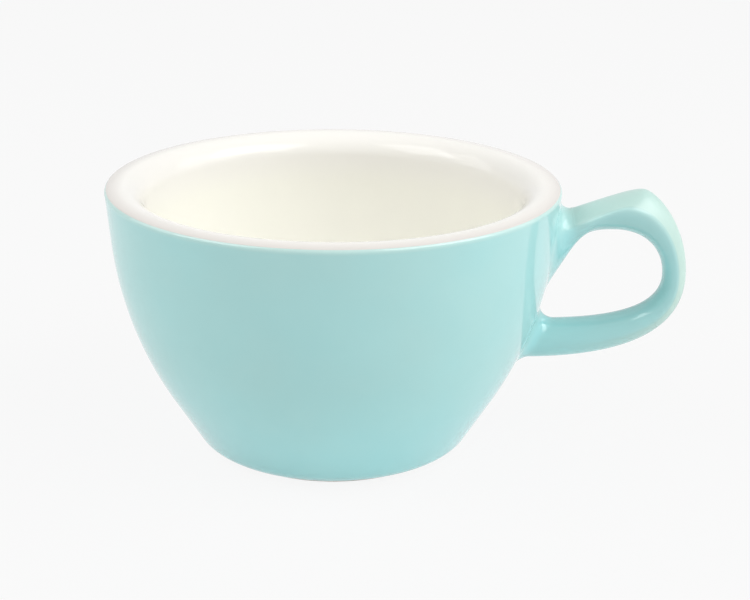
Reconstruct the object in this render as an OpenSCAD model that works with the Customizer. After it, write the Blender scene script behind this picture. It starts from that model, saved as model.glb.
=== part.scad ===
// Latte cup: a thrown and turned stoneware bowl with a separately pressed loop handle.
// The handle is luted to the bowl with slip, then the cup is glazed white inside
// and pale aqua outside. The bowl stands on z = 0 on its bare foot ring, its axis
// is the z axis, and the handle points along +x.

/* [Bowl] */
// Widest diameter of the glazed rim
rim_d = 110; // [96:1:124]
// Height from the table to the crest of the lip
cup_h = 66.8; // [62:0.2:76.8]
// Lean of the upper wall away from upright, in degrees
upper_lean = 5.5; // [3:0.5:8]
// Lean of the lower wall away from upright, in degrees
lower_lean = 32; // [27:0.5:34]
// Height of the bend between the two walls
shoulder_z = 32.5; // [30:0.5:37]
// Radius that rounds the bend, on the outside
shoulder_round = 90; // [70:1:110]
// Radius under the lower edge of the wall
base_round = 6.5; // [4:0.5:8]
// Thickness of the wall, glaze to glaze
wall_t = 8.4; // [7:0.1:9.4]
// Height of the drinking floor above the table
floor_z = 7.5; // [6.5:0.25:10]
// Radius between the wall and the floor, inside
floor_round = 17; // [10:1:20]

/* [Lip] */
// Radius of the lip's outer edge, where the two glazes meet
lip_round = 1; // [0.7:0.1:1.4]
// Rise of the crest above the lip's outer corner
lip_rise = 1.2; // [0.8:0.1:1.8]
// Radius that rounds the crest into the inner wall
crest_round = 3; // [2:0.25:3.5]

/* [Foot] */
// Outer diameter of the foot ring
foot_d = 57; // [50:0.5:57.5]
// Width of the foot ring's resting face
foot_w = 3.5; // [2.5:0.25:6]
// Height of the foot ring below the wall
foot_h = 1; // [0.7:0.1:1.6]
// Depth of the recess inside the foot ring
recess_depth = 2.5; // [1.6:0.1:3]

/* [Glaze and slip] */
// Thickness of each glaze coat
glaze_t = 0.4; // [0.3:0.05:0.6]
// Thickness of the slip between the handle and the bowl
slip_t = 0.6; // [0.4:0.1:1]

/* [Handle outline] */
// Reach of the handle past the rim
handle_reach = 30.7; // [26:0.1:35]
// Drop of the outermost point below the lip
reach_drop = 21.6; // [19:0.2:23.8]
// Distance of the thumb rest past the rim
thumb_out = 19.4; // [17:0.2:21]
// Drop of the thumb rest's crown below the lip
thumb_drop = 0.3; // [-0.4:0.1:2.6]
// Length of the nearly level crown on each side of the thumb rest
thumb_ease = 3; // [2:0.1:5]
// Drop of the upper root's top edge below the lip
upper_root_drop = 6.7; // [6.4:0.1:8.2]
// Slope of the top bar as it leaves the bowl, in degrees
top_slope = 20; // [15:0.5:23]
// Drop of the upper root's lower edge below the lip
armpit_drop = 23; // [20.8:0.2:23.8]
// Slope of the underside as it leaves the bowl, in degrees
armpit_slope = 32; // [26:1:40]
// Length over which the underside holds that slope before it turns up
armpit_ease = 13; // [11:0.5:14]
// Drop of the finger opening's top below the lip
finger_top_drop = 10.2; // [9.3:0.1:11.3]
// Distance of the finger opening's top past the rim
finger_top_out = 13; // [11:0.5:15]
// Length over which the finger opening's top stays nearly level towards the bowl
finger_top_ease = 12.6; // [10:0.2:14]
// Drop of the finger opening's floor below the lip
finger_floor_drop = 34.3; // [32:0.1:35.6]
// Drop of the lower bar's underside below the lip
lower_root_drop = 43.8; // [41:0.1:44.4]

/* [Handle section] */
// Width of the handle where it leaves the bowl at the top
upper_root_w = 11.6; // [9:0.2:14]
// Width of the thumb rest
thumb_w = 12.6; // [10:0.2:15]
// Width of the outer bar
outer_bar_w = 9.6; // [8:0.2:12]
// Width of the lower bar
lower_bar_w = 10.4; // [8:0.2:13]
// Thickness of the outer bar, seen from the side
outer_bar_t = 5.7; // [4.5:0.1:7]
// Height of the crown above the edge line, at the upper root
upper_root_crown = 1.6; // [1:0.1:2.4]
// Height of the crown above the edge line, at the thumb rest
thumb_crown = 2.2; // [1.5:0.1:3]
// Height of the crown above the edge line, at the outer bar
outer_bar_crown = 2.4; // [1.5:0.1:2.6]
// Radius of the fillet where the handle meets the bowl, on its outer side
root_fillet = 5; // [2:0.25:5.5]
// Radius of the fillet under the top bar, where it meets the bowl
finger_fillet = 7; // [4:0.25:10]
// Radius of the fillet on top of the lower bar, where it meets the bowl
lower_finger_fillet = 4.5; // [3:0.25:6]

/* [Hidden] */
$fn = 180;

clay = [0.90, 0.86, 0.79];
slip = [0.84, 0.80, 0.73];
white = [0.97, 0.96, 0.93];
aqua = [0.66, 0.84, 0.83];

rim_r = rim_d / 2;
foot_r = foot_d / 2;
foot_in_r = foot_r - foot_w;

// Straight steps that make up one rounded corner of the section
corner_steps = 10;

// Handle: rings in each of its three spans, sides of a ring, rings of the stretch at
// each root and the depth the ends run into the wall before they are trimmed
span_rings = [20, 16, 28];
ring_sides = 28;
root_rings = 14;
root_bury = 2.6;

// Power that crowds the rings towards the lower root, where the fillet bends fast
root_crowding = 1.6;

// Share of a full quarter round that the root fillet keeps, so that it meets the
// wall at an angle and not along a feather edge
fillet_share = 0.9;

function unit(v) = v / norm(v);
function heading(a) = [cos(a), sin(a)];
function turned(v, a) = [v.x * cos(a) - v.y * sin(a), v.x * sin(a) + v.y * cos(a)];
function left_of(a, b) = turned(unit(b - a), 90);
function flat(v) = [v.x, v.y];
function reversed(list) = [for (i = [len(list) - 1:-1:0]) list[i]];

// An outline is a chain of corners [r, z, rounding] with the clay on its left.
function corner_arc(before, at, after, r) =
    let (back = unit(before - at), on = unit(after - at))
    let (half = acos(back * on) / 2)
    let (centre = at + unit(back + on) * r / sin(half))
    let (start = at + back * r / tan(half) - centre)
    let (sweep = (180 - 2 * half) * sign(cross(on, back)))
    [for (k = [0:corner_steps]) centre + turned(start, sweep * k / corner_steps)];

function rounded(chain) = [
    for (i = [0:len(chain) - 1])
        each chain[i][2] == 0
            ? [flat(chain[i])]
            : corner_arc(flat(chain[i - 1]), flat(chain[i]), flat(chain[i + 1]), chain[i][2])
];

// The same chain moved into the clay by a depth, with its roundings kept concentric
function sunk_corner(before, at, after, depth) =
    let (p = flat(at))
    let (n1 = left_of(flat(before), p), n2 = left_of(p, flat(after)))
    let (moved = p + (n1 + n2) * depth / (1 + n1 * n2))
    let (r = at[2] - sign(cross(n1, n2)) * depth)
    [moved.x, moved.y, at[2] == 0 ? 0 : r];

function sunk_end(at, normal, depth) = [at.x + normal.x * depth, at.y + normal.y * depth, 0];

function sunk(chain, depth) =
    let (last = len(chain) - 1)
    [
        sunk_end(chain[0], left_of(flat(chain[0]), flat(chain[1])), depth),
        for (i = [1:last - 1]) sunk_corner(chain[i - 1], chain[i], chain[i + 1], depth),
        sunk_end(chain[last], left_of(flat(chain[last - 1]), flat(chain[last])), depth)
    ];

// Glazed outside, from the axis under the wall up to the lip's outer corner
edge_z = cup_h - lip_rise;
lip_corner_r = rim_r + lip_round * tan(upper_lean);
shoulder_r = rim_r - (edge_z - lip_round - shoulder_z) * tan(upper_lean);
base_r = shoulder_r - (shoulder_z - foot_h) * tan(lower_lean);
outer_chain = [
    [0, foot_h, 0],
    [base_r, foot_h, base_round],
    [shoulder_r, shoulder_z, shoulder_round],
    [lip_corner_r, edge_z, lip_round]
];

// The inner wall runs parallel to the outer one. Its top line and a line that climbs from
// the lip's outer corner are the two sides of the crest, which touches the cup's height.
inner_shoulder = sunk(outer_chain, wall_t)[2];
function inner_wall_r(z) = inner_shoulder.x + (z - inner_shoulder.y) * tan(upper_lean);
crest_centre_z = cup_h - crest_round;
crest_centre = [inner_wall_r(crest_centre_z) + crest_round / cos(upper_lean), crest_centre_z];
to_edge = [lip_corner_r, edge_z] - crest_centre;
crown_slope = asin(crest_round / norm(to_edge)) - atan(to_edge.y / to_edge.x);
crown_end_z = edge_z + lip_corner_r * tan(crown_slope);
crest_r = inner_wall_r(crown_end_z) / (1 + tan(upper_lean) * tan(crown_slope));
crest_z = crown_end_z - crest_r * tan(crown_slope);

// Glazed inside, from the crest down to the middle of the floor. The floor's fillet is
// limited by the straight wall above it.
floor_r = inner_shoulder.x - (inner_shoulder.y - floor_z) * tan(lower_lean);
straight_wall = norm([floor_r, floor_z] - flat(inner_shoulder))
    - inner_shoulder[2] * tan((lower_lean - upper_lean) / 2);
floor_fillet = min(floor_round, straight_wall / tan((90 - lower_lean) / 2));
inner_chain = [
    [crest_r, crest_z, crest_round],
    inner_shoulder,
    [floor_r, floor_z, floor_fillet],
    [0, floor_z, 0]
];

// The glazes meet at the end of the lip's rounding, the third corner of the chain. The
// outside starts where the wall's underside meets the foot ring.
glazed_chain = concat(outer_chain, inner_chain);
seam_point = 3 * (corner_steps + 1);
function past_foot(line) =
    let (foot_top = lookup(foot_r, line))
    concat([[foot_r, foot_top]], [for (p = line) if (p.x > foot_r) p]);
function outside(line) = past_foot([for (i = [0:seam_point]) line[i]]);
function inside(line) = [for (i = [seam_point:len(line) - 1]) line[i]];

glazed_line = rounded(glazed_chain);
clay_line = rounded(sunk(glazed_chain, glaze_t));
glazed_outside = outside(glazed_line);
clay_outside = outside(clay_line);
glazed_inside = inside(glazed_line);
clay_inside = inside(clay_line);

// Radius of the bare outer wall at a height
wall_table = [for (p = clay_outside) [p.y, p.x]];
function wall_r(z) = lookup(z, wall_table);

// Handle outlines in the plane y = 0, as [r, z] of the glazed surface. The outer and
// the inner outline each have three spans: top bar, outer bar and lower bar.
function buried(z, slope) = [wall_r(z) - root_bury, z - root_bury * tan(slope)];

thumb = [rim_r + thumb_out, cup_h - thumb_drop];
outermost = [rim_r + handle_reach, cup_h - reach_drop];
upper_root = buried(cup_h - upper_root_drop, top_slope);
lower_root = buried(cup_h - lower_root_drop, 0);
finger_top = [rim_r + finger_top_out, cup_h - finger_top_drop];
finger_end = outermost - [outer_bar_t, 0];
armpit = buried(cup_h - armpit_drop, 0);
lower_armpit = buried(cup_h - finger_floor_drop, 0);

// Shares of a span's length over which a curve holds its end direction: where the top
// bar leaves the bowl, round the loop, and where the lower bar runs straight to the bowl
top_hold = 0.3;
loop_hold = 0.6;
bar_hold = 0.7;

function span(from, from_dir, from_len, to, to_dir, to_len) =
    [from, from + from_dir * from_len, to - to_dir * to_len, to];

level = [1, 0];
down = [0, -1];
outer_spans = [
    span(upper_root, heading(top_slope), top_hold * (thumb.x - upper_root.x),
         thumb, level, thumb_ease),
    span(thumb, level, thumb_ease, outermost, down, loop_hold * (thumb.y - outermost.y)),
    span(outermost, down, loop_hold * (outermost.y - lower_root.y),
         lower_root, -level, bar_hold * (outermost.x - lower_root.x))
];
inner_spans = [
    span(armpit, heading(armpit_slope), armpit_ease, finger_top, level, finger_top_ease),
    span(finger_top, level, loop_hold * (finger_end.x - finger_top.x),
         finger_end, down, loop_hold * (finger_top.y - finger_end.y)),
    span(finger_end, down, loop_hold * (finger_end.y - lower_armpit.y),
         lower_armpit, -level, bar_hold * (finger_end.x - lower_armpit.x))
];

function curve(c, t) =
    c[0] * pow(1 - t, 3) + c[1] * 3 * t * pow(1 - t, 2) + c[2] * 3 * t * t * (1 - t) + c[3] * pow(t, 3);
function along(spans, t) = let (i = min(floor(t), 2)) curve(spans[i], t - i);

// Values at the four span ends, eased from one to the next
function eased(ends, t) =
    let (i = min(floor(t), 2), f = t - i)
    ends[i] + (ends[i + 1] - ends[i]) * f * f * (3 - 2 * f);

lower_bar_t = lower_root_drop - finger_floor_drop;
half_widths = [upper_root_w, thumb_w, outer_bar_w, lower_bar_w] / 2;
crowns = [upper_root_crown, thumb_crown, outer_bar_crown, lower_bar_t / 2];
// 0 is a round crown, 1 a low one that meets the sides in an edge line
edges = [0.6, 1, 0.5, 0];

// Point on a section: angle 0 and 180 are the edge lines, 90 the crown
function section_point(t, angle, depth) =
    let (o = along(outer_spans, t), i = along(inner_spans, t))
    let (out = unit(o - i), crown = eased(crowns, t), edge = eased(edges, t))
    let (lift = sin(angle), belly = norm(o - i) - crown)
    let (rise = (1 - edge) * lift + edge * lift * lift)
    let (n = lift > 0 ? (crown - depth) * rise : (belly - depth) * lift)
    let (middle = o - out * (crown - n))
    [middle.x, (eased(half_widths, t) - depth) * cos(angle), middle.y];

// The fillet swells the section where it comes within its radius of the wall. A swollen
// point keeps its clearance, so that the fillet follows the round wall. Between the two
// roots the handle is clear of the wall, so the radius may change there.
function fillet_at(t, angle) =
    let (inward = max(-sin(angle), 0), inner = t < 1.5 ? finger_fillet : lower_finger_fillet)
    root_fillet + (inner - root_fillet) * inward * inward;

function clearance(p) = norm([p.x, p.y]) - wall_r(p.z);

function swell(p, radius) =
    let (reach = fillet_share * (1 - min(max(clearance(p), 0), radius) / radius))
    radius * (1 - sqrt(1 - reach * reach));

function seated(p, clear) =
    let (share = (wall_r(p.z) + clear) / norm([p.x, p.y]))
    [p.x * share, p.y * share, p.z];

function swollen_point(t, angle, depth) =
    let (o = along(outer_spans, t))
    let (spine = o - unit(o - along(inner_spans, t)) * eased(crowns, t))
    let (skin = section_point(t, angle, 0))
    let (away = unit(skin - [spine.x, 0, spine.y]), out = swell(skin, fillet_at(t, angle)))
    let (p = section_point(t, angle, depth))
    out == 0 ? p : seated(p + away * out, clearance(p));

function handle_ring(t, depth) =
    [for (k = [0:ring_sides - 1]) swollen_point(t, 360 * k / ring_sides, depth)];

ring_places = [
    for (s = [0:1]) for (k = [0:span_rings[s] - 1]) s + k / span_rings[s],
    for (k = [0:span_rings[2]]) 3 - pow(1 - k / span_rings[2], root_crowding)
];
last_ring = len(ring_places) - 1;

// Two triangles for each cell between two rings of points, first is the ring's own start
function cell_faces(first, second, flip) = [
    for (k = [0:ring_sides - 1])
        let (next = (k + 1) % ring_sides)
        let (a = first + k, b = first + next, c = second + next, d = second + k)
        each flip ? [[a, b, c], [a, c, d]] : [[a, c, b], [a, d, c]]
];

// Solid run of the handle from one ring to another, at a depth under the glaze
module handle_run(from, to, depth) {
    rings = [for (i = [from:to]) handle_ring(ring_places[i], depth)];
    count = len(rings);
    points = [for (r = rings) each r];
    sides = [for (i = [0:count - 2]) each cell_faces(i * ring_sides, (i + 1) * ring_sides, false)];
    start = [for (k = [0:ring_sides - 1]) k];
    end = [for (k = [ring_sides - 1:-1:0]) (count - 1) * ring_sides + k];
    polyhedron(points, concat(sides, [start, end]));
}

// Coat over the whole handle: an outer and an inner skin joined at both ends
module handle_coat() {
    outer_rings = [for (t = ring_places) handle_ring(t, 0)];
    inner_rings = [for (t = ring_places) handle_ring(t, glaze_t)];
    points = [for (r = concat(outer_rings, inner_rings)) each r];
    inner_first = len(outer_rings) * ring_sides;
    inner_last = inner_first + last_ring * ring_sides;
    skins = [
        for (i = [0:last_ring - 1])
            each concat(
                cell_faces(i * ring_sides, (i + 1) * ring_sides, false),
                cell_faces(inner_first + i * ring_sides, inner_first + (i + 1) * ring_sides, true))
    ];
    ends = concat(cell_faces(0, inner_first, true), cell_faces(last_ring * ring_sides, inner_last, false));
    polyhedron(points, concat(skins, ends));
}

// Turned shape that starts and ends opposite the handle, clear of its roots
module turn_round() {
    rotate([0, 0, 180])
        rotate_extrude()
            children();
}

// Everything inside the bare outer wall, grown outwards by a gap
module wall_body(gap) {
    skin = outside(rounded(sunk(glazed_chain, glaze_t - gap)));
    top_z = skin[len(skin) - 1].y;
    turn_round()
        polygon(concat([[0, skin[0].y]], skin, [[0, top_z]]));
}

module coat(skin, under) {
    turn_round()
        polygon(concat(skin, reversed(under)));
}

// First and last rings of the stretches that reach through the wall at each root
upper_stretch = [0, root_rings];
lower_stretch = [last_ring - root_rings, last_ring];

module bowl() {
    foot = [[0, recess_depth], [foot_in_r, recess_depth], [foot_in_r, 0], [foot_r, 0]];
    past_seam = [for (i = [1:len(clay_inside) - 1]) clay_inside[i]];
    color(clay)
        turn_round()
            polygon(concat(foot, clay_outside, past_seam));
}

module liner_glaze() {
    color(white)
        coat(glazed_inside, clay_inside);
}

module outer_glaze() {
    color(aqua)
        difference() {
            coat(glazed_outside, clay_outside);
            handle_run(upper_stretch[0], upper_stretch[1], 0);
            handle_run(lower_stretch[0], lower_stretch[1], 0);
        }
}

module base_glaze() {
    color(aqua)
        translate([0, 0, recess_depth - glaze_t])
            cylinder(h = glaze_t, r = foot_in_r);
}

module handle() {
    color(clay)
        difference() {
            handle_run(0, last_ring, glaze_t);
            wall_body(slip_t);
        }
}

module slip_joint(stretch) {
    color(slip)
        difference() {
            intersection() {
                handle_run(stretch[0], stretch[1], glaze_t);
                wall_body(slip_t);
            }
            wall_body(0);
        }
}

module upper_slip_joint() {
    slip_joint(upper_stretch);
}

module lower_slip_joint() {
    slip_joint(lower_stretch);
}

module handle_glaze() {
    color(aqua)
        difference() {
            handle_coat();
            wall_body(0);
        }
}

bowl();
liner_glaze();
outer_glaze();
base_glaze();
handle();
upper_slip_joint();
lower_slip_joint();
handle_glaze();
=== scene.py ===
"""Latte cup: smooth glazed surfaces with their finishes, and a plain studio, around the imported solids."""
import math

import bmesh
import bpy
import numpy as np
from bpy.props import FloatProperty, FloatVectorProperty, PointerProperty
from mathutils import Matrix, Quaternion, Vector


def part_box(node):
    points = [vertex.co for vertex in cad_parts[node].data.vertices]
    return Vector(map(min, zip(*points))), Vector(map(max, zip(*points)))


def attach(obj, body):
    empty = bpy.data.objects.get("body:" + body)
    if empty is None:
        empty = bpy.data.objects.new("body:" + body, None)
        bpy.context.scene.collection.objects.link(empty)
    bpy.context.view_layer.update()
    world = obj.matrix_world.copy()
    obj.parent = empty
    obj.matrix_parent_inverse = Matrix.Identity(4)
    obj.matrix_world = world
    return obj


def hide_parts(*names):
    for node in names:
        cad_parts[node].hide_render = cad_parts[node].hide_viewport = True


bl_info = {
    "name": "Latte cup",
    "version": (1, 0, 0),
    "blender": (4, 5, 0),
    "location": "3D View > Sidebar > Cup",
    "description": "Builds the glazed surfaces of a latte cup and a plain studio for it",
    "category": "Add Mesh",
}

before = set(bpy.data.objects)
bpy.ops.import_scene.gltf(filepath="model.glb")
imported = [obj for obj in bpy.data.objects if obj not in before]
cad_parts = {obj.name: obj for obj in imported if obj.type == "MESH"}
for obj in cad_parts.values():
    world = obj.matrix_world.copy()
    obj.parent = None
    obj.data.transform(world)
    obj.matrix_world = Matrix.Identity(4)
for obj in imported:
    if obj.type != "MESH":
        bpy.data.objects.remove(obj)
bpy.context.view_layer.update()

# Every piece of the cup is fixed to the one rigid body
BODY = "root"

# Columns of a turned surface, steps of a rounded corner and the longest stretch between rows
TURN_COLUMNS = 256
CORNER_STEPS = 24
ROW_SPACING = 0.0015

# Step of the lip's rounding, counted from outside, at which the glaze line runs
LINE_STEP = 17

# Handle: columns round a section, rows along the bar, rows of each root fillet and halvings of a search
BAR_COLUMNS = 64
BAR_ROWS = 120
FILLET_ROWS = 24
HALVINGS = 40

# Places along the handle, counted in spans, between which each root is looked for, and its middle
UPPER_ROOT = (0.0, 0.95)
LOWER_ROOT = (3.0, 2.2)
MIDWAY = 1.5

# Skirt of a root fillet, which runs on along the wall, sinks into it with no edge and turns inwards:
# rows of (clearance from the wall, distance past the fillet), and the height where the skirt starts
SKIRT = np.array([(-0.0008, 0.0012), (-0.00004, 0.0012), (-0.00004, 0.00115), (-0.000012, 0.0006)])
LIFT = 0.00001

# Points closer together than this are one point
MERGE_DISTANCE = 1e-7

# Width of the photograph in pixels and of the camera's sensor in millimetres, and the nearest distance seen
IMAGE_W = 750
SENSOR_MM = 36.0
CLIP_START = 0.01

# Soft lights: degrees to the right of the camera and above the horizon, then width and height in metres
LIGHTS = {
    "key": (60, 45, 0.9, 0.55),
    "right_side": (90, 30, 0.9, 0.55),
    "fill": (-69, 45, 0.6, 0.6),
    "left_side": (-100, 30, 0.6, 0.6),
}

# Gap that keeps the floor clear of the foot
FLOOR_GAP = 0.0001


def near_tenth(size):
    """A size from the frame in metres, to the nearest tenth of a millimetre."""
    return round(size, 4)


OUTER_LOW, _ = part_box("outer_glaze")
LINER_LOW, LINER_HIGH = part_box("liner_glaze")
BASE_LOW, BASE_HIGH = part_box("base_glaze")
_, HANDLE_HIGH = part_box("handle_glaze")
RIM_D = near_tenth(-2 * OUTER_LOW.x)
CUP_H = near_tenth(LINER_HIGH.z)
GLAZE_T = near_tenth(BASE_HIGH.z - BASE_LOW.z)


def length(name, description, default):
    """A length in metres that the sidebar shows as a distance."""
    return FloatProperty(name=name, description=description, default=default,
                         subtype="DISTANCE", unit="LENGTH", precision=5)


def turn(name, description, degrees):
    """An angle, given here in degrees."""
    return FloatProperty(name=name, description=description, default=math.radians(degrees),
                         subtype="ANGLE", unit="ROTATION")


def paint(name, description, red, green, blue):
    """A colour, given here as the 0 to 255 values that a screen shows."""
    screen = np.array([red, green, blue]) / 255
    linear = np.where(screen > 0.04045, ((screen + 0.055) / 1.055) ** 2.4, screen / 12.92)
    return FloatVectorProperty(name=name, description=description, default=tuple(linear),
                               subtype="COLOR", size=3, min=0, max=1)


def level(name, description, default):
    """A plain number."""
    return FloatProperty(name=name, description=description, default=default)


class BowlSizes(bpy.types.PropertyGroup):
    """Sizes of the turned bowl and its coats"""
    rim_d: length("Rim diameter", "Widest diameter of the glazed rim", RIM_D)
    cup_h: length("Height", "Height from the table to the crest of the lip", CUP_H)
    upper_lean: turn("Upper lean", "Lean of the upper wall away from upright", 5.5)
    lower_lean: turn("Lower lean", "Lean of the lower wall away from upright", 32)
    shoulder_z: length("Shoulder height", "Height of the bend between the two walls", 0.0325)
    shoulder_round: length("Shoulder round", "Radius that rounds the bend", 0.090)
    base_round: length("Base round", "Radius under the lower edge of the wall", 0.0065)
    wall_t: length("Wall", "Thickness of the wall, glaze to glaze", 0.0089)
    floor_z: length("Floor height", "Height of the drinking floor", near_tenth(LINER_LOW.z + GLAZE_T))
    floor_round: length("Floor round", "Radius between wall and floor, inside", 0.017)
    lip_round: length("Lip round", "Radius of the lip's outer edge", 0.001)
    lip_rise: length("Lip rise", "Rise of the crest above the lip's outer corner", 0.0006)
    crest_round: length("Crest round", "Radius that rounds the crest into the inner wall", 0.006)
    foot_d: length("Foot diameter", "Outer diameter of the foot ring", 0.057)
    foot_in_r: length("Foot inner radius", "Inner radius of the foot ring", near_tenth(BASE_HIGH.x))
    foot_h: length("Foot height", "Height of the foot ring below the wall", near_tenth(OUTER_LOW.z))
    foot_edge: length("Foot edge", "Sponged radius on the foot ring's edges", 0.0005)
    recess_depth: length("Recess depth", "Depth of the recess under the cup", near_tenth(BASE_HIGH.z))
    recess_round: length("Recess round", "Radius in the corner of the recess", 0.0009)
    glaze_t: length("Glaze", "Thickness of each glaze coat", GLAZE_T)


class HandleSizes(bpy.types.PropertyGroup):
    """Sizes of the loop handle"""
    handle_reach: length("Reach", "Reach past the rim", near_tenth(HANDLE_HIGH.x - RIM_D / 2))
    reach_drop: length("Reach drop", "Drop of the outermost point below the crest", 0.0216)
    thumb_out: length("Thumb rest out", "Distance of the thumb rest past the rim", 0.0194)
    thumb_drop: length("Thumb rest drop", "Drop of the thumb rest below the crest",
                       near_tenth(CUP_H - HANDLE_HIGH.z))
    thumb_ease: length("Thumb rest ease", "Nearly level length on each side of the crown", 0.003)
    upper_root_drop: length("Upper root drop", "Drop of the upper root below the crest", 0.0067)
    top_slope: turn("Top slope", "Slope of the top bar as it leaves the bowl", 20)
    armpit_drop: length("Underside drop", "Drop of the upper root's lower edge", 0.0230)
    armpit_slope: turn("Underside slope", "Slope of the underside as it leaves the bowl", 32)
    armpit_ease: length("Underside ease", "Length over which it holds that slope", 0.013)
    finger_top_drop: length("Opening top drop", "Drop of the finger opening's top", 0.0102)
    finger_top_out: length("Opening top out", "Distance of the opening's top past the rim", 0.013)
    finger_top_ease: length("Opening top ease", "Nearly level length towards the bowl", 0.0126)
    finger_floor_drop: length("Opening floor drop", "Drop of the opening's floor", 0.0338)
    lower_root_drop: length("Lower root drop", "Drop of the lower bar's underside", 0.0436)
    upper_root_w: length("Upper root width", "Width at the upper root", 0.0116)
    thumb_w: length("Thumb rest width", "Width of the thumb rest", 0.0126)
    outer_bar_w: length("Outer bar width", "Width of the outer bar", 0.0096)
    lower_bar_w: length("Lower bar width", "Width of the lower bar", 0.0104)
    outer_bar_t: length("Outer bar", "Thickness of the outer bar", 0.0057)
    upper_root_crown: length("Upper root crown", "Height of the crown at the upper root", 0.0042)
    thumb_crown: length("Thumb rest crown", "Height of the crown at the thumb rest", 0.0043)
    outer_bar_crown: length("Outer bar crown", "Height of the crown at the outer bar", 0.0024)
    root_bury: length("Root depth", "Depth that the bar's lines run into the wall", 0.0026)
    root_fillet: length("Root fillet", "Fillet at the sides of the upper root", 0.0050)
    lower_root_fillet: length("Lower root fillet", "Fillet at the sides of the lower root", 0.0036)
    outer_fillet: length("Outer fillet", "Fillet on top of the upper root", 0.0036)
    lower_outer_fillet: length("Lower outer fillet", "Fillet under the lower root", 0.0028)
    finger_fillet: length("Finger fillet", "Fillet under the top bar", 0.0064)
    lower_finger_fillet: length("Lower finger fillet", "Fillet on top of the lower bar", 0.0052)


class GlazeColours(bpy.types.PropertyGroup):
    """Colours of the glazes and the clay"""
    aqua: paint("Aqua", "Glaze outside, at its usual thickness", 163, 208, 207)
    aqua_thin: paint("Thin aqua", "Where the aqua thins at the line on the lip", 200, 221, 214)
    # Paler and warmer: clay showing through on the handle's top, and painted top light
    aqua_crown_worn_and_lit: paint("Crown aqua", "Where the clay shows through on the handle's top", 208, 209, 186)
    # Lighter and greener: glaze that gathers in hollows and runs, and painted bounce light low on the bowl
    aqua_gathered_and_bounce: paint("Gathered aqua", "Where the aqua gathers, low on the bowl and in hollows",
                         157, 219, 222)
    white: paint("White", "Glaze inside, near the lip", 237, 235, 230)
    # Darker on the lip's crest and outer slope: glaze that thins over the edge, and painted shade
    white_thin_and_shaded: paint("Thin white", "Where the white thins over the lip's edge", 214, 209, 204)
    cream: paint("Cream", "Where the white gathers", 241, 240, 231)
    clay: paint("Clay", "Bare stoneware", 226, 216, 198)
    clay_speck: paint("Clay speck", "Darker grains in the stoneware", 176, 158, 132)
    slip: paint("Slip", "Fired slip in the joints", 214, 203, 184)


class StudioSetup(bpy.types.PropertyGroup):
    """Camera, lights and floor"""
    camera_distance: length("Distance", "From the camera to the middle of the cup", 0.45)
    camera_elevation: turn("Elevation", "Height of the camera above the horizon", 19.28)
    camera_azimuth: turn("Azimuth", "Turn of the camera towards the handle", 5)
    camera_roll: turn("Roll", "Tilt of the camera to its left", 0.5)
    target_z: length("Target height", "Height of the point that the camera was placed by", 0.0335)
    focal_px: level("Focal length", "Focal length in pixels of the photograph's frame", 1817)
    pan_px: level("Pan", "Pixels that the target lies left of the middle", 41.3)
    tilt_px: level("Tilt", "Pixels that the target lies below the middle", 10.4)
    paper: paint("Paper", "Background and floor", 249, 249, 249)
    floor_r: length("Floor radius", "Radius of the floor", 4.0)
    paper_share: level("Floor evenness", "Share of the floor's look that takes no shadow", 0.96)
    sky: level("Sky", "Level of the even light from all round", 0.37)
    key: level("Key", "Power of the large soft light at the front right, in watts", 6.4)
    right_side: level("Right side", "Power of the large soft light at the right, in watts", 2.3)
    fill: level("Fill", "Power of the soft light at the front left, in watts", 3.5)
    left_side: level("Left side", "Power of the soft light at the left, in watts", 1.7)


def unit(vectors):
    """Vectors of length one, along the last axis."""
    vectors = np.asarray(vectors, float)
    return vectors / np.linalg.norm(vectors, axis=-1, keepdims=True)


def corner_arc(before, at, after, radius):
    """Arc tangent to both sides of a corner. Its centre lies on the corner's bisector,
    radius / sin(half angle) away, and it starts radius / tan(half angle) before the corner."""
    back, on = unit(before - at), unit(after - at)
    half = math.acos(back @ on) / 2
    centre = at + unit(back + on) * radius / math.sin(half)
    start = at + back * radius / math.tan(half) - centre
    sweep = math.copysign(math.pi - 2 * half, on[0] * back[1] - on[1] * back[0])
    angle = math.atan2(start[1], start[0]) + sweep * np.linspace(0, 1, CORNER_STEPS + 1)
    return centre + radius * np.stack([np.cos(angle), np.sin(angle)], -1)


def rounded(corners):
    """Runs of [r, z] points, one for each corner, through corners given as (r, z, rounding)."""
    place = np.array([corner[:2] for corner in corners])
    runs = []
    for i, (_, _, radius) in enumerate(corners):
        if radius:
            runs.append(corner_arc(place[i - 1], place[i], place[i + 1], radius))
        else:
            runs.append(place[i:i + 1])
    return runs


def filled(outline):
    """The same outline with points added so that no stretch is longer than the row spacing."""
    steps = np.linalg.norm(np.diff(outline, axis=0), axis=1)
    along = np.concatenate([[0], np.cumsum(steps)])
    every = np.union1d(along, np.arange(0, along[-1], ROW_SPACING))
    return np.stack([np.interp(every, along, outline[:, k]) for k in range(2)], -1)


def inset(outline, depth):
    """The outline moved to its left by a depth, along its own normals."""
    ahead = unit(np.gradient(outline, axis=0))
    return outline + depth * np.stack([-ahead[:, 1], ahead[:, 0]], -1)


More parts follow.
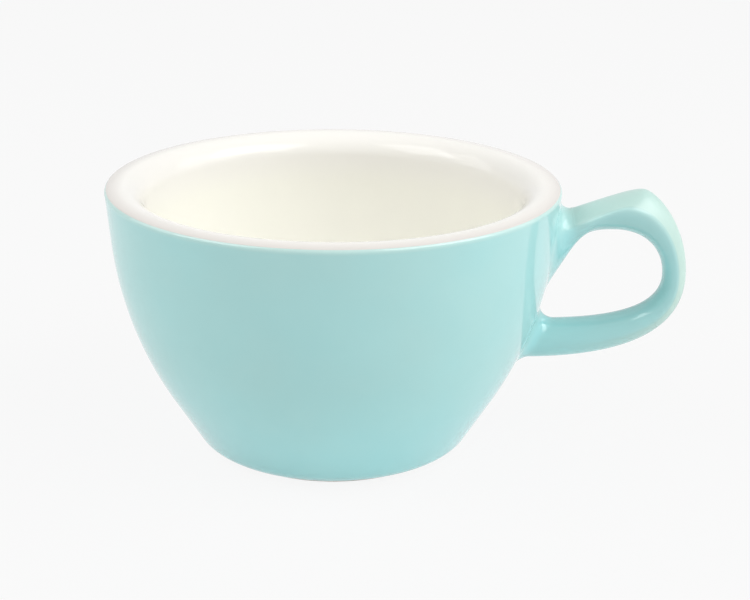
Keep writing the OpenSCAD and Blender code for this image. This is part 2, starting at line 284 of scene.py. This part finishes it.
class CupOutline:
    """Half section of the glazed bowl as [r, z] points, in metres, with the clay on its left."""

    def __init__(self, size):
        self.size = size
        rim_r, foot_r = size.rim_d / 2, size.foot_d / 2
        upper, lower = math.tan(size.upper_lean), math.tan(size.lower_lean)
        edge_z = size.cup_h - size.lip_rise
        edge_r = rim_r + size.lip_round * upper
        shoulder_r = rim_r - (edge_z - size.lip_round - size.shoulder_z) * upper
        base_r = shoulder_r - (size.shoulder_z - size.foot_h) * lower

        normals = [np.array([-math.cos(a), math.sin(a)]) for a in (size.upper_lean, size.lower_lean)]
        step = sum(normals) * size.wall_t / (1 + normals[0] @ normals[1])
        inner_r, inner_z = np.array([shoulder_r, size.shoulder_z]) + step
        floor_r = inner_r - (inner_z - size.floor_z) * lower

        # The crest touches the cup's height, the inner wall and a line from the lip's outer corner
        centre_z = size.cup_h - size.crest_round
        centre_r = inner_r + (centre_z - inner_z) * upper + size.crest_round / math.cos(size.upper_lean)
        across, down = edge_r - centre_r, edge_z - centre_z
        touch = math.asin(size.crest_round / math.hypot(across, down))
        crown = math.tan(touch - math.atan2(down, across))
        crown_end = edge_z + edge_r * crown
        crest_r = (inner_r + (crown_end - inner_z) * upper) / (1 + upper * crown)

        runs = rounded([
            (foot_r, size.foot_h, 0),
            (base_r, size.foot_h, size.base_round),
            (shoulder_r, size.shoulder_z, size.shoulder_round),
            (edge_r, edge_z, size.lip_round),
            (crest_r, crown_end - crest_r * crown, size.crest_round),
            (inner_r, inner_z, size.shoulder_round - size.wall_t),
            (floor_r, size.floor_z, size.floor_round),
            (0, size.floor_z, 0),
        ])
        # The first three runs lie outside, the lip's edge belongs to both coats, and the rest lie inside
        lip = runs[3]
        self.outside = filled(np.concatenate([*runs[:3], lip[:LINE_STEP + 1]]))
        self.inside = filled(np.concatenate([lip[LINE_STEP:], *runs[4:]]))
        self.clay_outside = inset(self.outside, size.glaze_t)
        self.clay_inside = inset(self.inside, size.glaze_t)

    def wall_r(self, z):
        """Radius of the glazed outside at each height, read off the half section."""
        return np.interp(z, self.outside[:, 1], self.outside[:, 0])


def turned(outline):
    """Surface of revolution: x = r cos(a), y = r sin(a), z = z, for each [r, z] and each angle a."""
    angle = np.linspace(0, 2 * math.pi, TURN_COLUMNS, endpoint=False)
    r, z = outline[:, :1], outline[:, 1:]
    return np.stack([r * np.cos(angle), r * np.sin(angle), z + 0 * angle], -1)


def grid_faces(rows, columns):
    """Four corners of each cell of a grid whose rows and columns both close on themselves."""
    index = np.arange(rows * columns).reshape(rows, columns)
    right = np.roll(index, -1, axis=1)
    corners = [index, right, np.roll(right, -1, axis=0), np.roll(index, -1, axis=0)]
    return np.stack(corners, -1).reshape(-1, 4)


def make_piece(name, points, material, nodes, masks):
    """Object for a closed grid of points. Points that fall together, as on the axis, are merged,
    the faces are turned outwards, and each mask becomes a number on the points."""
    rows, columns, _ = points.shape
    mesh = bpy.data.meshes.new(name)
    mesh.from_pydata(points.reshape(-1, 3), [], grid_faces(rows, columns))
    for mask, values in masks.items():
        layer = mesh.attributes.new(mask, "FLOAT", "POINT")
        on_points = np.broadcast_to(values, (rows, columns)).astype(np.float32)
        layer.data.foreach_set("value", on_points.ravel())
    shell = bmesh.new()
    shell.from_mesh(mesh)
    bmesh.ops.remove_doubles(shell, verts=shell.verts, dist=MERGE_DISTANCE)
    if shell.calc_volume(signed=True) < 0:
        bmesh.ops.reverse_faces(shell, faces=shell.faces)
    shell.to_mesh(mesh)
    shell.free()
    mesh.shade_smooth()
    mesh.materials.append(material)
    piece = bpy.data.objects.new(name, mesh)
    bpy.context.scene.collection.objects.link(piece)
    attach(piece, BODY)
    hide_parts(*nodes)
    return piece


def eased(ends, place):
    """Values at the four span ends, eased from one to the next by 3 f^2 - 2 f^3."""
    span = np.clip(np.floor(place), 0, 2).astype(int)
    f = place - span
    ends = np.asarray(ends)
    return ends[span] + (ends[span + 1] - ends[span]) * f * f * (3 - 2 * f)


def along(spans, place):
    """Points on a chain of cubic curves: the whole part of a place picks the curve."""
    span = np.clip(np.floor(place), 0, 2).astype(int)
    f = (place - span)[..., None]
    a, b, c, d = np.moveaxis(spans[span], -2, 0)
    return a * (1 - f) ** 3 + 3 * b * f * (1 - f) ** 2 + 3 * c * f * f * (1 - f) + d * f ** 3


class HandleForm:
    """Loop handle as a sweep. Its outer and inner outline are chains of three cubic curves in the
    plane y = 0, and a section spans from one to the other at each place along them."""

    # Shares of a span over which a curve holds its end direction: top bar, loop, lower bar and its top
    top_hold, loop_hold, bar_hold, floor_hold = 0.3, 0.6, 0.71, 0.76
    # Sharpness of the line between crown and sides at the four span ends
    edges = (0.6, 1.0, 0.5, 0.0)
    # Thinning of the coat along that line, and how far from it this reaches, in radians
    line_thin, line_spread = 0.35, 0.12
    # Share of the crown colour, which stands for clay showing through the thin glaze and for painted
    # top light on the handle's top, at the same ends, and how fast it starts at the edge line
    crown_wear_and_top_light = (0.24, 0.3, 0.4, 0.0)
    wear_and_light_onset = 5
    # Share of glaze that gathers on the bar, at the same ends
    gathers = (0.1, 0.0, 0.1, 0.5)

    def __init__(self, size, cup):
        self.cup = cup
        rim_r, cup_h = cup.size.rim_d / 2, cup.size.cup_h

        def buried(drop, slope):
            z = cup_h - drop
            return np.array([cup.wall_r(z) - size.root_bury, z - size.root_bury * math.tan(slope)])

        def span(start, start_dir, start_len, end, end_dir, end_len):
            return [start, start + start_dir * start_len, end - end_dir * end_len, end]

        def heading(angle):
            return np.array([math.cos(angle), math.sin(angle)])

        level_dir, down = np.array([1.0, 0.0]), np.array([0.0, -1.0])
        thumb = np.array([rim_r + size.thumb_out, cup_h - size.thumb_drop])
        outermost = np.array([rim_r + size.handle_reach, cup_h - size.reach_drop])
        upper_root = buried(size.upper_root_drop, size.top_slope)
        lower_root = buried(size.lower_root_drop, 0)
        finger_top = np.array([rim_r + size.finger_top_out, cup_h - size.finger_top_drop])
        finger_end = outermost - [size.outer_bar_t, 0]
        armpit = buried(size.armpit_drop, 0)
        lower_armpit = buried(size.finger_floor_drop, 0)
        top, loop, bar, floor = self.top_hold, self.loop_hold, self.bar_hold, self.floor_hold
        self.outer = np.array([
            span(upper_root, heading(size.top_slope), top * (thumb - upper_root)[0],
                 thumb, level_dir, size.thumb_ease),
            span(thumb, level_dir, size.thumb_ease, outermost, down, loop * (thumb - outermost)[1]),
            span(outermost, down, loop * (outermost - lower_root)[1],
                 lower_root, -level_dir, bar * (outermost - lower_root)[0]),
        ])
        self.inner = np.array([
            span(armpit, heading(size.armpit_slope), size.armpit_ease,
                 finger_top, level_dir, size.finger_top_ease),
            span(finger_top, level_dir, loop * (finger_end - finger_top)[0],
                 finger_end, down, loop * (finger_top - finger_end)[1]),
            span(finger_end, down, loop * (finger_end - lower_armpit)[1],
                 lower_armpit, -level_dir, floor * (finger_end - lower_armpit)[0]),
        ])
        lower_bar_t = size.lower_root_drop - size.finger_floor_drop
        widths = (size.upper_root_w, size.thumb_w, size.outer_bar_w, size.lower_bar_w)
        self.half_widths = np.array(widths) / 2
        self.crowns = (size.upper_root_crown, size.thumb_crown, size.outer_bar_crown, lower_bar_t / 2)
        self.fillets = ((size.root_fillet, size.outer_fillet, size.finger_fillet),
                        (size.lower_root_fillet, size.lower_outer_fillet, size.lower_finger_fillet))

    def section(self, place, angle, depth=0.0):
        """Points of the sections and the directions in which they swell. The crown, angle 0 to pi,
        blends a half oval into a parabola as the edge line sharpens. The belly is a half oval."""
        outer, inner = along(self.outer, place), along(self.inner, place)
        out = unit(outer - inner)
        crown, edge = eased(self.crowns, place), eased(self.edges, place)
        belly = np.linalg.norm(outer - inner, axis=-1) - crown
        on_crown = angle <= math.pi
        evenly = 1 - 2 * angle / math.pi
        across = np.where(on_crown, (1 - edge) * np.cos(angle) + edge * evenly, np.cos(angle))
        round_rise = np.sqrt(np.maximum(1 - across ** 2, 0))
        crown_rise = (1 - edge) * round_rise + edge * round_rise ** 2
        rise = np.where(on_crown, (crown - depth) * crown_rise, -(belly - depth) * round_rise)
        spine = outer - out * crown[..., None]
        middle = spine + out * rise[..., None]
        y = (eased(self.half_widths, place) - depth) * across
        points = np.stack([middle[..., 0], y, middle[..., 1]], -1)
        swell = unit(points - np.stack([spine[..., 0], 0 * y, spine[..., 1]], -1))
        return points, swell

    def clearance(self, points):
        """Distance of points from the glazed wall, measured level."""
        return np.hypot(points[..., 0], points[..., 1]) - self.cup.wall_r(points[..., 2])

    def find_root(self, angle, clearance, root):
        """Places where each line of the sections stands at a clearance from the wall, by halving."""
        inside = np.full(np.broadcast(angle, clearance).shape, root[0])
        beyond = np.full(inside.shape, root[1])
        for _ in range(HALVINGS):
            middle = (inside + beyond) / 2
            short = self.clearance(self.section(middle, angle)[0]) < clearance
            inside, beyond = np.where(short, middle, inside), np.where(short, beyond, middle)
        return (inside + beyond) / 2

    def skin(self, depth):
        """Grid of the glazed skin, less a depth. Each root flares into a quarter-round fillet that
        leaves the bar and meets the wall without an edge: a point at a clearance c under the
        radius R moves along its section by R - sqrt(R^2 - (R - c)^2), then back to that clearance.
        Past the fillet a skirt goes on along the wall. Returns the points, the share of glaze that
        gathers there, the thinning along the edge line, and the share of the crown colour, which stands
        for clay showing through on the crown and for painted top light."""
        angle = np.arange(BAR_COLUMNS)[None] * 2 * math.pi / BAR_COLUMNS
        inward, outward = np.maximum(-np.sin(angle), 0) ** 2, np.maximum(np.sin(angle), 0) ** 2
        upper_radius, lower_radius = (
            side + (outer - side) * outward + (inner - side) * inward
            for side, outer, inner in self.fillets)
        flare = 1 - np.sin(np.linspace(math.pi / 2, 0, FILLET_ROWS))[:, None]
        under = SKIRT[:, :1] + 0 * angle
        upper = self.find_root(angle, np.concatenate([under, upper_radius * flare]), UPPER_ROOT)
        lower = self.find_root(angle, np.concatenate([under, lower_radius * flare]), LOWER_ROOT)[::-1]
        share = np.linspace(0, 1, BAR_ROWS)[1:-1, None]
        bar = upper[-1:] + share * (lower[:1] - upper[-1:])
        place = np.concatenate([upper, bar, lower])
        angle = angle + 0 * place
        radius = np.where(place < MIDWAY, upper_radius, lower_radius)
        points, swell = self.section(place, angle, depth)
        clear = self.clearance(points)
        reach = np.clip(1 - clear / radius, 0, 1)
        skirt = np.zeros_like(place)
        skirt[:len(SKIRT)], skirt[-len(SKIRT):] = SKIRT[:, 1:], SKIRT[::-1, 1:]
        points = points + swell * (radius * (1 - np.sqrt(1 - reach ** 2)) + skirt)[..., None]
        flat = np.hypot(points[..., 0], points[..., 1])
        seated = (self.cup.wall_r(points[..., 2]) + clear + LIFT * reach) / flat
        points[..., :2] *= np.where(clear < radius, seated, 1)[..., None]
        edge = eased(self.edges, place)
        from_edge = np.abs((angle + math.pi / 2) % math.pi - math.pi / 2)
        line = self.line_thin * edge * (1 - reach) * np.exp(-(from_edge / self.line_spread) ** 2)
        # Crown share: painted top light on the handle's top with clay showing through the thin glaze, held
        # part way into the root fillet
        on_crown = np.clip(self.wear_and_light_onset * np.sin(angle), 0, 1)
        crown = eased(self.crown_wear_and_top_light, place) * on_crown * (1 - reach ** 2)
        bar_pool = eased(self.gathers, place) * (1 - reach)
        return points, np.maximum(bar_pool, 4 * reach * (1 - reach) * (1 - outward)), line, crown


class Wire:
    """One output of a shader tree. Arithmetic on it adds Math nodes, and add makes any other node."""

    def __init__(self, tree, socket=None):
        self.tree = tree
        self.socket = socket

    def add(self, kind, settings=None, inputs=None, output=0):
        """Makes a node, sets its settings first and then its sockets, and returns one output."""
        node = self.tree.nodes.new(kind)
        for name, value in (settings or {}).items():
            setattr(node, name, value)
        for name, value in (inputs or {}).items():
            if isinstance(value, Wire):
                self.tree.links.new(value.socket, node.inputs[name])
            else:
                node.inputs[name].default_value = value
        return Wire(self.tree, node.outputs[output] if len(node.outputs) else None)

    def math(self, operation, first, second):
        return self.add("ShaderNodeMath", {"operation": operation}, {0: first, 1: second})

    def __add__(self, other):
        return self.math("ADD", self, other)

    def __mul__(self, other):
        return self.math("MULTIPLY", self, other)

    def __radd__(self, other):
        return self.math("ADD", other, self)

    def __rsub__(self, other):
        return self.math("SUBTRACT", other, self)

    def at_most(self, limit):
        return self.math("MINIMUM", self, limit)

    def between(self, low, high):
        """0 at low, 1 at high and a smooth step between."""
        return self.add("ShaderNodeMapRange", {"interpolation_type": "SMOOTHSTEP"},
                        {"Value": self, "From Min": low, "From Max": high})

    def mixed(self, first, second):
        """First colour where this is 0, second where it is 1."""
        return self.add("ShaderNodeMix", {"data_type": "RGBA"}, {0: self, 6: first, 7: second}, 2)


def rgba(colour):
    """A colour as the four numbers that a socket takes."""
    return (*colour, 1.0)


def new_material(name):
    """An empty material and the wire that adds its nodes."""
    material = bpy.data.materials.new(name)
    material.use_nodes = True
    material.node_tree.nodes.clear()
    return material, Wire(material.node_tree)


def noise(tree, where, per_metre, detail=2):
    """Cloudy values from 0 to 1 around 0.5, in object space, with some octaves of detail."""
    return tree.add("ShaderNodeTexNoise", {}, {"Vector": where, "Scale": per_metre, "Detail": detail})


def patches(tree, where, per_metre, detail=2, low=0.3, high=0.7):
    """Soft patches: 0 where the noise is under low, 1 where it is over high."""
    return noise(tree, where, per_metre, detail).between(low, high)


def mask_wire(tree, name):
    """The number that a piece holds on its points under a name."""
    return tree.add("ShaderNodeAttribute", {"attribute_name": name}, output=2)


def relief(tree, height, strength, depth):
    """Normal of a surface that the height raises by up to a depth in metres."""
    return tree.add("ShaderNodeBump", {}, {"Strength": strength, "Distance": depth, "Height": height})


def aqua_glaze(name, colours, size):
    """Glossy pale aqua: whitish at the line on the lip; paler, warmer and less glossy on the handle's top,
    where clay shows through and painted top light lies; stronger, lighter and greener in hollows and runs,
    where glaze gathers, and low on the bowl as painted bounce light from the floor; with the faint clouds
    and soft ripple of a fired glaze."""
    clouds_per_m, runs_per_m, ripples_per_m = 90, 35, 260
    in_hollows, painted_bounce_low, in_runs, painted_bounce_reach = 0.6, 0.5, 0.16, 0.034
    at_line, in_clouds = 0.7, 0.05
    smooth, cloud_rough, worn_rough = 0.03, 0.03, 0.9
    ripple_strength, ripple_depth = 0.025, 0.0006
    material, tree = new_material(name)
    where = tree.add("ShaderNodeTexCoord", output=3)
    height = tree.add("ShaderNodeSeparateXYZ", {}, {0: where}, 2)
    thin, pool, crown = (mask_wire(tree, mask) for mask in ("thin", "pool", "crown"))
    clouds = patches(tree, where, clouds_per_m)
    runs = patches(tree, where, runs_per_m, detail=1, low=0.35, high=0.75)
    # Painted bounce light from the floor: the lighter, greener gathered colour low on the bowl
    low = 1 - height.between(size.foot_h, size.foot_h + painted_bounce_reach)
    gathered = (pool * in_hollows + low * painted_bounce_low + runs * in_runs).at_most(1)
    colour = gathered.mixed(rgba(colours.aqua), rgba(colours.aqua_gathered_and_bounce))
    # Painted top light on the handle's top, together with clay showing through the thin glaze
    colour = crown.mixed(colour, rgba(colours.aqua_crown_worn_and_lit))
    colour = (thin * at_line + clouds * in_clouds).at_most(1).mixed(colour, rgba(colours.aqua_thin))
    surface = tree.add("ShaderNodeBsdfPrincipled", {}, {
        "Base Color": colour,
        "Roughness": smooth + clouds * cloud_rough + crown * worn_rough,
        "IOR": 1.52,
        "Normal": relief(tree, noise(tree, where, ripples_per_m), ripple_strength, ripple_depth)})
    tree.add("ShaderNodeOutputMaterial", {}, {"Surface": surface})
    return material


def white_glaze(name, colours, size):
    """Glossy warm white, a little darker on the lip's crest and outer slope, where it thins over the edge
    and where painted shade lies, that gathers to cream below the lip, with a soft ripple."""
    clouds_per_m, ripples_per_m = 80, 240
    cream_depth, white_depth = 0.014, 0.005
    deep_down, in_clouds = 0.88, 0.1
    smooth, cloud_rough = 0.06, 0.04
    ripple_strength, ripple_depth = 0.02, 0.0006
    material, tree = new_material(name)
    where = tree.add("ShaderNodeTexCoord", output=3)
    height = tree.add("ShaderNodeSeparateXYZ", {}, {0: where}, 2)
    thin = mask_wire(tree, "thin")
    clouds = patches(tree, where, clouds_per_m)
    deep = 1 - height.between(size.cup_h - cream_depth, size.cup_h - white_depth)
    gathered = (deep * deep_down + clouds * in_clouds).at_most(1)
    colour = gathered.mixed(rgba(colours.white), rgba(colours.cream))
    # Painted shade on the lip's crest and outer slope, with the glaze thinning over the edge
    colour = thin.mixed(colour, rgba(colours.white_thin_and_shaded))
    surface = tree.add("ShaderNodeBsdfPrincipled", {}, {
        "Base Color": colour,
        "Roughness": smooth + clouds * cloud_rough,
        "IOR": 1.5,
        "Specular IOR Level": 0.35,
        "Normal": relief(tree, noise(tree, where, ripples_per_m), ripple_strength, ripple_depth)})
    tree.add("ShaderNodeOutputMaterial", {}, {"Surface": surface})
    return material


def bare_clay(name, ground, speck):
    """Matte fired clay: a grained ground with sparse darker specks and a sanded surface."""
    grains_per_m, specks_per_m, clouds_per_m = 2600, 1500, 120
    in_specks, in_clouds = 0.7, 0.16
    matte, grain_rough = 0.78, 0.2
    grain_strength, grain_depth = 0.35, 0.0002
    material, tree = new_material(name)
    where = tree.add("ShaderNodeTexCoord", output=3)
    grain = noise(tree, where, grains_per_m, detail=3)
    specks = patches(tree, where, specks_per_m, detail=1, low=0.66, high=0.74)
    clouds = patches(tree, where, clouds_per_m, high=0.8)
    colour = (specks * in_specks + clouds * in_clouds).at_most(1).mixed(rgba(ground), rgba(speck))
    surface = tree.add("ShaderNodeBsdfPrincipled", {}, {
        "Base Color": colour,
        "Roughness": matte + grain * grain_rough,
        "Normal": relief(tree, grain, grain_strength, grain_depth)})
    tree.add("ShaderNodeOutputMaterial", {}, {"Surface": surface})
    return material


def seen_directly(tree):
    """1 for the camera, mirrors and glass, 0 for light that falls on the cup."""
    rays = tree.add("ShaderNodeLightPath")
    outputs = rays.socket.node.outputs
    names = ("Is Camera Ray", "Is Glossy Ray", "Is Transmission Ray")
    camera, glossy, glass = (Wire(tree.tree, outputs[name]) for name in names)
    return (camera + glossy + glass).at_most(1)


def pale_paper(name, studio):
    """Floor paper: an even pale tone for the eye, with a share of plain matte that keeps the shadow."""
    fibres_per_m, fibre_share, fibre_tone = 900, 0.03, (0.8, 0.8, 0.8)
    material, tree = new_material(name)
    where = tree.add("ShaderNodeTexCoord", output=3)
    fibre = noise(tree, where, fibres_per_m, detail=3)
    paper = rgba(studio.paper)
    colour = (fibre * fibre_share).mixed(paper, rgba(fibre_tone))
    matte = tree.add("ShaderNodeBsdfDiffuse", {}, {"Color": colour})
    even = tree.add("ShaderNodeEmission", {}, {"Color": paper})
    share = seen_directly(tree) * studio.paper_share
    surface = tree.add("ShaderNodeMixShader", {}, {0: share, 1: matte, 2: even})
    tree.add("ShaderNodeOutputMaterial", {}, {"Surface": surface})
    return material


def finish_of(name, maker, *parts):
    """The named finish, made the first time that a piece asks for it."""
    return bpy.data.materials.get(name) or maker(name, *parts)


class CupOperator(bpy.types.Operator):
    """Shared by the operators that build the cup"""
    bl_options = {"REGISTER", "UNDO"}

    def read(self, context):
        scene = context.scene
        self.bowl, self.handle = scene.cup_bowl, scene.cup_handle
        self.colours, self.studio = scene.cup_colours, scene.cup_studio
        self.cup = CupOutline(self.bowl)

    def aqua(self):
        return finish_of("aqua_finish", aqua_glaze, self.colours, self.bowl)

    def clay(self):
        return finish_of("clay_finish", bare_clay, self.colours.clay, self.colours.clay_speck)


class CUP_OT_clay_bowl(CupOperator):
    """Turned clay bowl with its bare foot ring"""
    bl_idname = "cup.clay_bowl"
    bl_label = "Clay bowl"

    def execute(self, context):
        self.read(context)
        size = self.bowl
        foot = rounded([
            (0, size.recess_depth, 0),
            (size.foot_in_r, size.recess_depth, size.recess_round),
            (size.foot_in_r, 0, size.foot_edge),
            (size.foot_d / 2, 0, size.foot_edge),
            (size.foot_d / 2, size.foot_h, 0),
        ])
        foot = filled(np.concatenate(foot))
        outline = np.concatenate([foot, self.cup.clay_outside[1:], self.cup.clay_inside[1:]])
        make_piece("clay_bowl", turned(outline), self.clay(), ["bowl"], {})
        return {"FINISHED"}


class CUP_OT_clay_handle(CupOperator):
    """Clay handle under its coat, closed in the middle of each root"""
    bl_idname = "cup.clay_handle"
    bl_label = "Clay handle"

    def execute(self, context):
        self.read(context)
        skin = HandleForm(self.handle, self.cup).skin(self.bowl.glaze_t)[0]
        first, last = (np.broadcast_to(row.mean(axis=0), skin[:1].shape) for row in (skin[0], skin[-1]))
        points = np.concatenate([first, skin, last])
        make_piece("clay_handle", points, self.clay(), ["handle"], {})
        return {"FINISHED"}


class CUP_OT_slip_finish(CupOperator):
    """Finish of the slip that joins the handle to the bowl, under the glaze"""
    bl_idname = "cup.slip_finish"
    bl_label = "Slip joints"

    def execute(self, context):
        self.read(context)
        slip = finish_of("slip_finish", bare_clay, self.colours.slip, self.colours.clay_speck)
        for node in ("upper_slip_joint", "lower_slip_joint"):
            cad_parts[node].data.materials.clear()
            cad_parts[node].data.materials.append(slip)
        return {"FINISHED"}


class CUP_OT_outer_coat(CupOperator):
    """Aqua coat outside, from the foot to the line on the lip"""
    bl_idname = "cup.outer_coat"
    bl_label = "Outer coat"

    # Distance from the glaze line over which the coat is thin
    thin_reach = 0.0014

    def execute(self, context):
        self.read(context)
        outline = np.concatenate([self.cup.outside, self.cup.clay_outside[::-1]])
        from_line = np.linalg.norm(outline - self.cup.outside[-1], axis=1)[:, None]
        thin = np.clip(1 - from_line / self.thin_reach, 0, 1)
        masks = {"thin": thin, "pool": 0 * thin, "crown": 0 * thin}
        make_piece("outer_coat", turned(outline), self.aqua(), ["outer_glaze"], masks)
        return {"FINISHED"}


class CUP_OT_liner_coat(CupOperator):
    """White coat inside, from the floor over the lip"""
    bl_idname = "cup.liner_coat"
    bl_label = "Liner coat"

    # Thinning on the crest, which also carries painted shade on the lip's outer slope, and the distance
    # outwards from it that would thin the coat from none to full
    thin_at_crest, thin_reach = 0.3, 0.004

    def execute(self, context):
        self.read(context)
        outline = np.concatenate([self.cup.inside, self.cup.clay_inside[::-1]])
        white = finish_of("white_finish", white_glaze, self.colours, self.bowl)
        crest_r = self.cup.inside[np.argmax(self.cup.inside[:, 1]), 0]
        # The thin mask darkens the lip's crest and outer slope: glaze thinning, and painted shade
        thin = np.clip((outline[:, :1] - crest_r) / self.thin_reach + self.thin_at_crest, 0, 1)
        make_piece("liner_coat", turned(outline), white, ["liner_glaze"], {"thin": thin})
        return {"FINISHED"}


class CUP_OT_base_coat(CupOperator):
    """Aqua coat in the recess under the cup, with an edge that curls on to the foot ring"""
    bl_idname = "cup.base_coat"
    bl_label = "Base coat"

    # Share of the recess's radius where the glaze starts to gather, and how fast it does
    pool_start, pool_gain = 0.8, 3

    def execute(self, context):
        self.read(context)
        size = self.bowl
        under_z = size.recess_depth - size.glaze_t
        edge_r = size.foot_in_r - size.glaze_t
        edge_z = under_z - 2 * size.recess_round
        under = rounded([
            (0, under_z, 0),
            (edge_r, under_z, size.recess_round),
            (edge_r, edge_z, 0),
        ])
        above = rounded([
            (size.foot_in_r, edge_z, 0),
            (size.foot_in_r, size.recess_depth, size.recess_round),
            (0, size.recess_depth, 0),
        ])
        outline = filled(np.concatenate([*under, *above]))
        pool = np.clip(outline[:, :1] / size.foot_in_r - self.pool_start, 0, 1) * self.pool_gain
        masks = {"thin": 0 * pool, "pool": pool, "crown": 0 * pool}
        make_piece("base_coat", turned(outline), self.aqua(), ["base_glaze"], masks)
        return {"FINISHED"}


class CUP_OT_handle_coat(CupOperator):
    """Aqua coat on the handle, with a fillet at each root"""
    bl_idname = "cup.handle_coat"
    bl_label = "Handle coat"

    def execute(self, context):
        self.read(context)
        form = HandleForm(self.handle, self.cup)
        skin, *values = form.skin(0)
        under = form.skin(self.bowl.glaze_t)[0]
        points = np.concatenate([skin, under[::-1]])
        masks = {name: np.concatenate([value, 0 * value])
                 for name, value in zip(("pool", "thin", "crown"), values)}
        piece = make_piece("handle_coat", points, self.aqua(), ["handle_glaze"], masks)
        smooth = piece.modifiers.new("smooth", "SUBSURF")
        smooth.levels = smooth.render_levels = 1
        return {"FINISHED"}


class CUP_OT_stage(CupOperator):
    """Floor, even light from all round, soft lights and the camera"""
    bl_idname = "cup.stage"
    bl_label = "Stage"

    def execute(self, context):
        self.read(context)
        self.add_floor(context)
        self.add_sky(context)
        for name, (azimuth, elevation, wide, high) in LIGHTS.items():
            self.add_light(context, name, azimuth, elevation, wide, high)
        self.add_camera(context)
        context.scene.view_settings.view_transform = "Standard"
        return {"FINISHED"}

    def add_floor(self, context):
        """Disc just under the foot, whose rim is one turned point."""
        rim = turned(np.array([[self.studio.floor_r, -FLOOR_GAP]]))[0]
        mesh = bpy.data.meshes.new("floor")
        mesh.from_pydata(rim, [], [np.arange(TURN_COLUMNS)])
        mesh.materials.append(finish_of("pale_paper", pale_paper, self.studio))
        floor = bpy.data.objects.new("floor", mesh)
        context.scene.collection.objects.link(floor)

    def add_sky(self, context):
        world = bpy.data.worlds.new("studio")
        world.use_nodes = True
        world.node_tree.nodes.clear()
        tree = Wire(world.node_tree)
        direct = seen_directly(tree)
        strength = direct + (1 - direct) * self.studio.sky
        background = tree.add("ShaderNodeBackground", {},
                              {"Color": rgba(self.studio.paper), "Strength": strength})
        tree.add("ShaderNodeOutputWorld", {}, {"Surface": background})
        context.scene.world = world

    def bearing(self, azimuth, elevation):
        """Unit vector towards an azimuth, counted from -y towards +x, and an elevation."""
        flat = math.cos(elevation)
        return Vector((math.sin(azimuth) * flat, -math.cos(azimuth) * flat, math.sin(elevation)))

    def add_light(self, context, name, azimuth, elevation, wide, high):
        """Soft light a metre away that faces the cup, with the power that the sidebar gives it."""
        studio = self.studio
        lamp = bpy.data.lights.new(name, "AREA")
        lamp.shape = "RECTANGLE"
        lamp.size, lamp.size_y = wide, high
        lamp.energy = getattr(studio, name)
        light = bpy.data.objects.new(name, lamp)
        towards = self.bearing(studio.camera_azimuth + math.radians(azimuth), math.radians(elevation))
        light.location = Vector((0, 0, studio.target_z)) + towards
        light.rotation_euler = (-towards).to_track_quat("-Z", "Y").to_euler()
        context.scene.collection.objects.link(light)

    def add_camera(self, context):
        studio = self.studio
        lens = bpy.data.cameras.new("camera")
        lens.sensor_width = SENSOR_MM
        lens.lens = studio.focal_px * SENSOR_MM / IMAGE_W
        lens.clip_start, lens.clip_end = CLIP_START, 2 * studio.floor_r
        camera = bpy.data.objects.new("camera", lens)
        target = Vector((0, 0, studio.target_z))
        back = self.bearing(studio.camera_azimuth, studio.camera_elevation)
        right = Vector((0, 0, 1)).cross(back).normalized()
        up = back.cross(right)
        camera.location = target + back * studio.camera_distance
        pixel = studio.camera_distance / studio.focal_px
        aim = target + right * studio.pan_px * pixel + up * studio.tilt_px * pixel
        level_turn = (aim - camera.location).to_track_quat("-Z", "Y")
        camera.rotation_euler = (level_turn @ Quaternion((0, 0, 1), studio.camera_roll)).to_euler()
        context.scene.collection.objects.link(camera)
        context.scene.camera = camera


class CUP_PT_sidebar(bpy.types.Panel):
    """Lists the cup's pieces, sizes and colours"""
    bl_idname = "CUP_PT_sidebar"
    bl_label = "Latte cup"
    bl_space_type = "VIEW_3D"
    bl_region_type = "UI"
    bl_category = "Cup"

    def draw(self, context):
        for operator in OPERATORS:
            self.layout.operator(operator.bl_idname)
        for name in GROUPS:
            group = getattr(context.scene, name)
            box = self.layout.box()
            for key in group.__annotations__:
                box.prop(group, key)


OPERATORS = (CUP_OT_clay_bowl, CUP_OT_clay_handle, CUP_OT_slip_finish, CUP_OT_outer_coat,
             CUP_OT_liner_coat, CUP_OT_base_coat, CUP_OT_handle_coat, CUP_OT_stage)
GROUPS = {"cup_bowl": BowlSizes, "cup_handle": HandleSizes,
          "cup_colours": GlazeColours, "cup_studio": StudioSetup}


def register():
    for group in GROUPS.values():
        bpy.utils.register_class(group)
    for operator in OPERATORS:
        bpy.utils.register_class(operator)
    bpy.utils.register_class(CUP_PT_sidebar)
    for name, group in GROUPS.items():
        setattr(bpy.types.Scene, name, PointerProperty(type=group))


def unregister():
    for name in GROUPS:
        delattr(bpy.types.Scene, name)
    bpy.utils.unregister_class(CUP_PT_sidebar)
    for kind in reversed((*GROUPS.values(), *OPERATORS)):
        bpy.utils.unregister_class(kind)


def main():
    register()
    bpy.ops.cup.stage()
    bpy.ops.cup.clay_bowl()
    bpy.ops.cup.clay_handle()
    bpy.ops.cup.slip_finish()
    bpy.ops.cup.outer_coat()
    bpy.ops.cup.liner_coat()
    bpy.ops.cup.base_coat()
    bpy.ops.cup.handle_coat()


if __name__ == "__main__":
    main()
